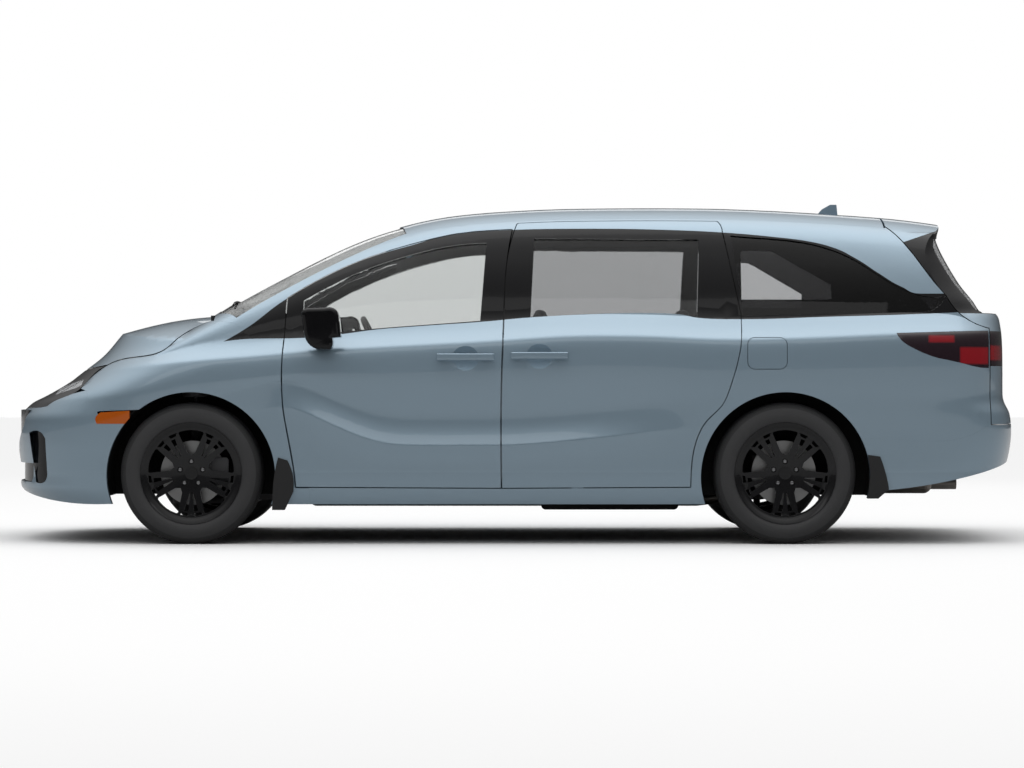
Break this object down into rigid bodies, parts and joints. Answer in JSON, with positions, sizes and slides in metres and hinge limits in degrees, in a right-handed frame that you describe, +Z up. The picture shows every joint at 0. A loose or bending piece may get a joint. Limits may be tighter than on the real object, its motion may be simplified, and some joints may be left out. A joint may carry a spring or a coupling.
{
  "type": "minivan",
  "caption": "Long low family minivan with hinged front doors, closed sliding rear doors, opening bonnet and tailgate, steered and rolling wheels.",
  "frame": {"origin": "on the ground under the middle of the vehicle", "axes": "+X towards the rear, +Y towards the vehicle's right side, +Z up"},
  "size_m": [5.2086, 2.2632, 1.7666],
  "materials": {
    "paint": "gloss",
    "primer": "satin",
    "glass_tint": "gloss",
    "tyre": "matte",
    "rim_black": "gloss",
    "disc_steel": "satin",
    "lamp_red": "gloss",
    "lamp_clear": "gloss",
    "cast_metal": "satin",
    "steel": "satin",
    "plastic_black": "matte",
    "seat_cloth": "matte"
  },
  "bodies": {
    "chassis": {"body_side_left": "paint", "body_side_right": "paint", "dashboard": "plastic_black", "engine_block": "cast_metal", "exhaust": "steel", "fender_left": "paint", "fender_right": "paint", "floor_pan": "primer", "front_bumper": "paint", "front_inserts": "plastic_black", "front_lamps": "lamp_clear", "front_seats": "seat_cloth", "front_structure": "primer", "front_suspension": "cast_metal", "fuel_tank": "plastic_black", "grille": "plastic_black", "mud_flaps": "plastic_black", "quarter_glass": "glass_tint", "rear_bumper": "paint", "rear_seats": "seat_cloth", "rear_suspension": "cast_metal", "roof_fin": "paint", "roof_panel": "paint", "sliding_door_glass": "glass_tint", "sliding_door_left": "paint", "sliding_door_right": "paint", "sliding_handles": "paint", "tail_lamps": "lamp_red", "wheel_liners": "plastic_black", "windshield": "glass_tint"},
    "door_front_left": {"door_front_left": "paint", "door_front_glass_left": "glass_tint", "mirror_left": "plastic_black", "door_handle_left": "paint"},
    "door_front_right": {"door_front_right": "paint", "door_front_glass_right": "glass_tint", "mirror_right": "plastic_black", "door_handle_right": "paint"},
    "bonnet": {"bonnet": "paint"},
    "tailgate": {"tailgate": "paint", "spoiler": "paint", "tailgate_glass": "glass_tint", "gate_lamps": "lamp_red"},
    "fuel_lid": {"fuel_lid": "paint"},
    "knuckle_left": {"knuckle_left": "cast_metal"},
    "knuckle_right": {"knuckle_right": "cast_metal"},
    "steering_wheel": {"steering_wheel": "plastic_black"},
    "wheel_front_left": {"tyre_front_left": "tyre", "rim_front_left": "rim_black", "brake_disc_front_left": "disc_steel"},
    "wheel_front_right": {"tyre_front_right": "tyre", "rim_front_right": "rim_black", "brake_disc_front_right": "disc_steel"},
    "wheel_rear_left": {"tyre_rear_left": "tyre", "rim_rear_left": "rim_black", "brake_disc_rear_left": "disc_steel"},
    "wheel_rear_right": {"tyre_rear_right": "tyre", "rim_rear_right": "rim_black", "brake_disc_rear_right": "disc_steel"}
  },
  "joints": [
    {"name": "steer_left", "type": "hinge", "parent": "chassis", "child": "knuckle_left", "pos_m": [-1.6205, -0.8, 0.22], "axis": [0, 0.2186, 0.9758], "range_deg": [-35, 35]},
    {"name": "spin_front_left", "type": "hinge", "parent": "knuckle_left", "child": "wheel_front_left", "pos_m": [-1.6205, -0.8545, 0.358], "axis": [0, 1, 0], "continuous": true},
    {"name": "spin_rear_left", "type": "hinge", "parent": "chassis", "child": "wheel_rear_left", "pos_m": [1.3795, -0.8545, 0.358], "axis": [0, 1, 0], "continuous": true},
    {"name": "door_front_left_hinge", "type": "hinge", "parent": "chassis", "child": "door_front_left", "pos_m": [-1.12, -0.975, 0.65], "axis": [0, 0, -1], "range_deg": [0, 70]},
    {"name": "steer_right", "type": "hinge", "parent": "chassis", "child": "knuckle_right", "pos_m": [-1.6205, 0.8, 0.22], "axis": [0, -0.2186, 0.9758], "range_deg": [-35, 35]},
    {"name": "spin_front_right", "type": "hinge", "parent": "knuckle_right", "child": "wheel_front_right", "pos_m": [-1.6205, 0.8545, 0.358], "axis": [0, 1, 0], "continuous": true},
    {"name": "spin_rear_right", "type": "hinge", "parent": "chassis", "child": "wheel_rear_right", "pos_m": [1.3795, 0.8545, 0.358], "axis": [0, 1, 0], "continuous": true},
    {"name": "door_front_right_hinge", "type": "hinge", "parent": "chassis", "child": "door_front_right", "pos_m": [-1.12, 0.975, 0.65], "axis": [0, 0, 1], "range_deg": [0, 70]},
    {"name": "steering_wheel_turn", "type": "hinge", "parent": "chassis", "child": "steering_wheel", "pos_m": [-0.7, -0.39, 0.985], "axis": [0.9063, 0, 0.4226], "range_deg": [-490, 490]},
    {"name": "bonnet_hinge", "type": "hinge", "parent": "chassis", "child": "bonnet", "pos_m": [-1.522, 0, 1.165], "axis": [0, 1, 0], "range_deg": [0, 50]},
    {"name": "tailgate_hinge", "type": "hinge", "parent": "chassis", "child": "tailgate", "pos_m": [1.927, 0, 1.69], "axis": [0, -1, 0], "range_deg": [0, 85]},
    {"name": "fuel_lid_hinge", "type": "hinge", "parent": "chassis", "child": "fuel_lid", "pos_m": [1.19, -0.992, 0.964], "axis": [0, 0, -1], "range_deg": [0, 95]}
  ],
  "couplings": [
    {"joint": "steer_right", "follows": "steer_left", "ratio": 1},
    {"joint": "steering_wheel_turn", "follows": "steer_left", "ratio": 14}
  ]
}
